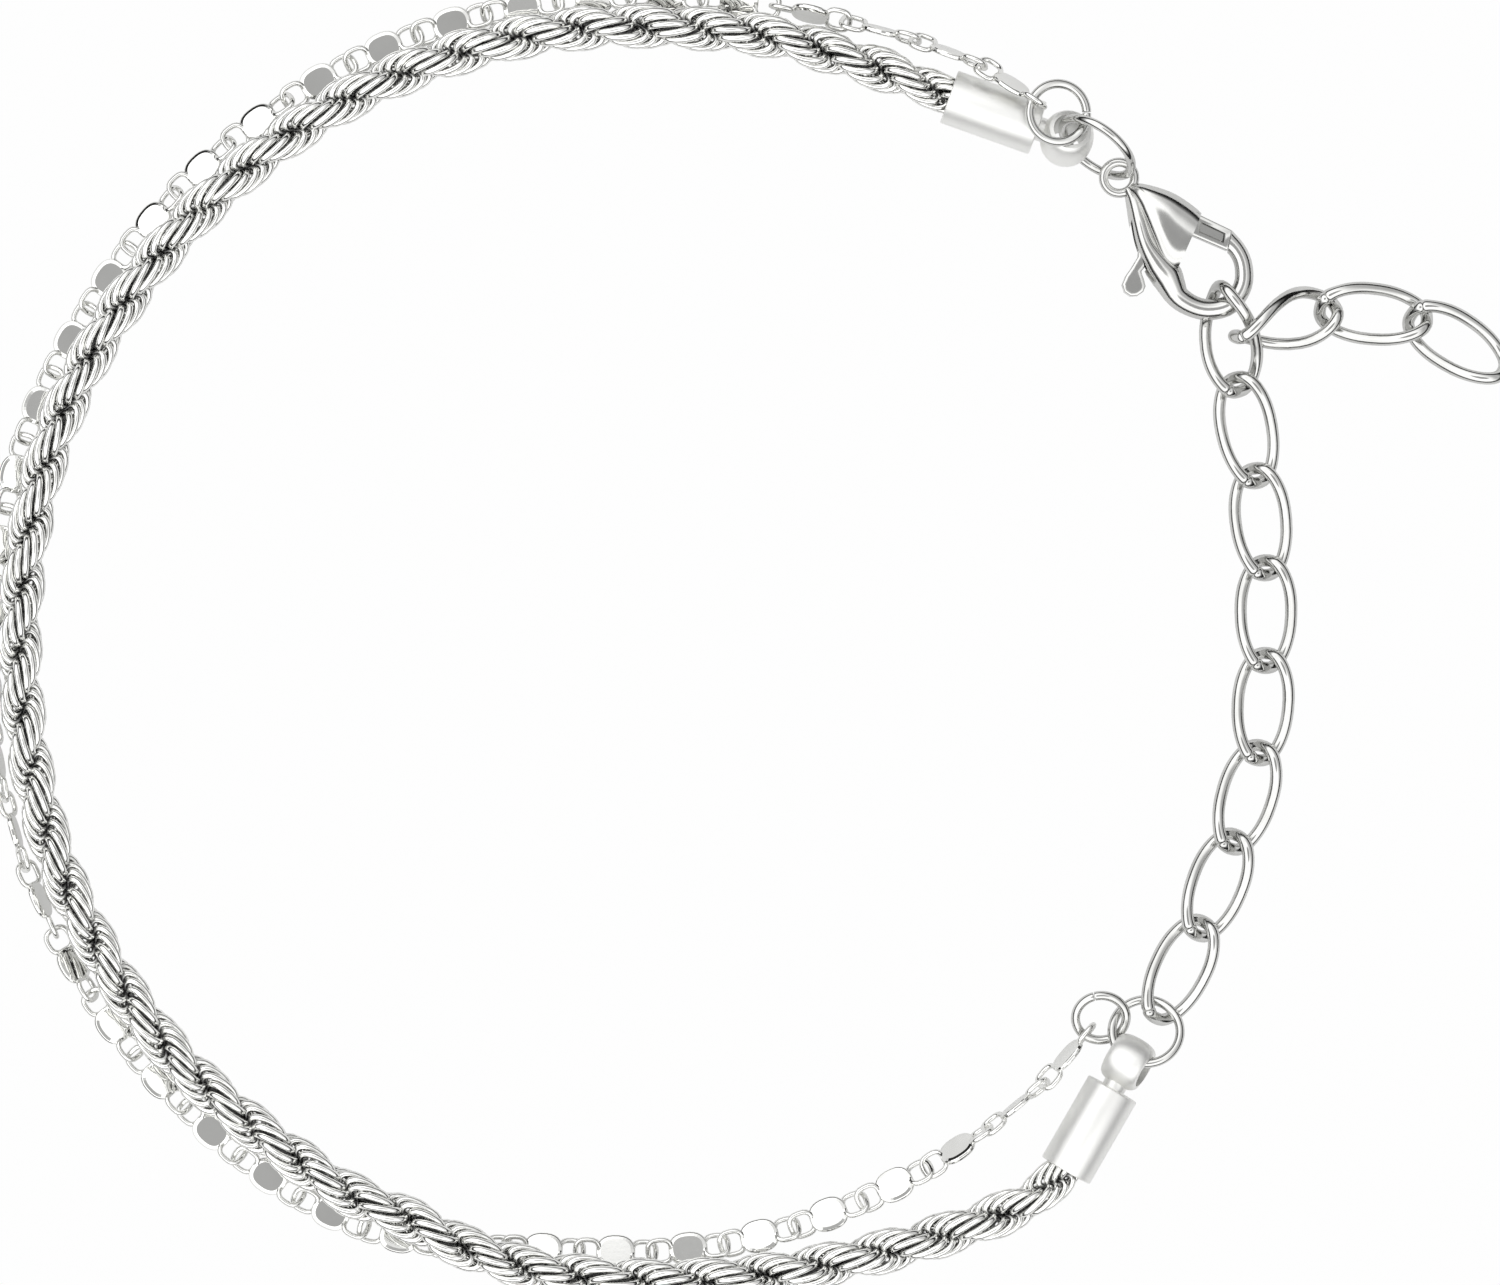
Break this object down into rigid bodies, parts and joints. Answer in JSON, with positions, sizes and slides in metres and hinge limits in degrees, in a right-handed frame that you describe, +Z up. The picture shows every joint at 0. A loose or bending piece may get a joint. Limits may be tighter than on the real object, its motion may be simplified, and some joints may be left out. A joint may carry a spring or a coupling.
{
  "type": "chain bracelet",
  "caption": "Two-strand bracelet laid in a loop: a rope chain and a flat-plate chain between end caps, closed by a lobster clasp hooked into a curb-link extension chain.",
  "frame": {"origin": "The middle of the laid-out bracelet's outline, on the surface that it lies on.", "axes": "+X to the side where the clasp and the extension chain lie, +Y to the rope chain's upper end cap, +Z up from the surface."},
  "size_m": [0.077, 0.0662, 0.0041],
  "materials": {
    "rope_wire": "bright silver plating on fine wire rings",
    "mirror_plate": "mirror-polished silver plating",
    "fitting": "polished silver plating",
    "link_wire": "polished silver plating on round wire",
    "clasp": "polished silver plating on a casting"
  },
  "bodies": {
    "bracelet": {"rope_chain": "rope_wire", "mirror_chain": "mirror_plate", "end_cap_lower": "fitting", "end_cap_upper": "fitting", "jump_ring_lower_small": "link_wire", "jump_ring_lower_large": "link_wire", "jump_ring_upper_small": "link_wire", "jump_ring_upper_large": "link_wire", "extension_link_01": "link_wire", "extension_link_02": "link_wire", "extension_link_03": "link_wire", "extension_link_04": "link_wire", "extension_link_05": "link_wire", "extension_link_06": "link_wire", "extension_link_07": "link_wire", "extension_link_08": "link_wire", "extension_link_09": "link_wire", "extension_link_10": "link_wire", "extension_link_11": "link_wire", "clasp_body": "clasp", "clasp_pin": "clasp"},
    "lever": {"clasp_lever": "clasp"}
  },
  "joints": [
    {"name": "lever_hinge", "type": "hinge", "parent": "bracelet", "child": "lever", "pos_m": [0.02045, 0.02145, 0.00125], "axis": [0, 0, -1], "range_deg": [0, 22], "stiffness_Nm_per_rad": 0.01}
  ]
}
